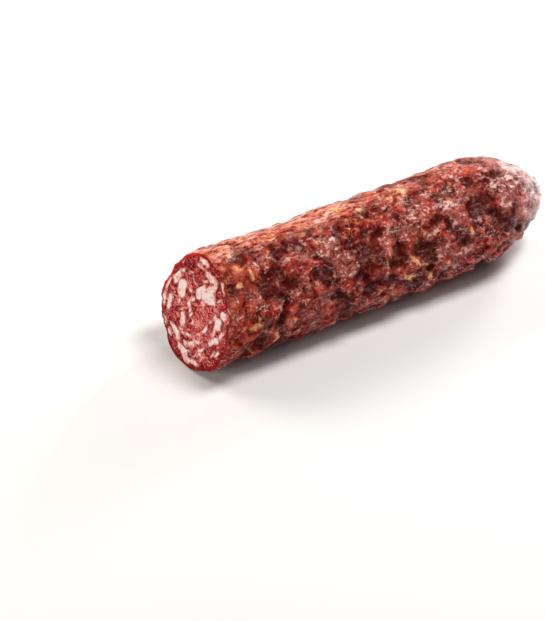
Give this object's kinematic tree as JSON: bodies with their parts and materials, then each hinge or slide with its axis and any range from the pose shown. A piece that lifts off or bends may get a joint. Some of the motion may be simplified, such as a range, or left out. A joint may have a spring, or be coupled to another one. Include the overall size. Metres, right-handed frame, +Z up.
{
  "type": "cured sausage",
  "caption": "Dry cured sausage log with a wrinkled casing, cut across at one end and rounded at the other, lying on its side.",
  "frame": {"origin": "middle of the bounding box's underside, on the surface that the log lies on", "axes": "+X along the log from its cut end to its rounded end, +Y across it, +Z up"},
  "size_m": [0.1982, 0.0508, 0.0507],
  "materials": {
    "cured_meat": "wrinkled, oily satin casing; moist marbled cut face"
  },
  "bodies": {
    "root": {"cured_sausage": "cured_meat"}
  },
  "joints": []
}
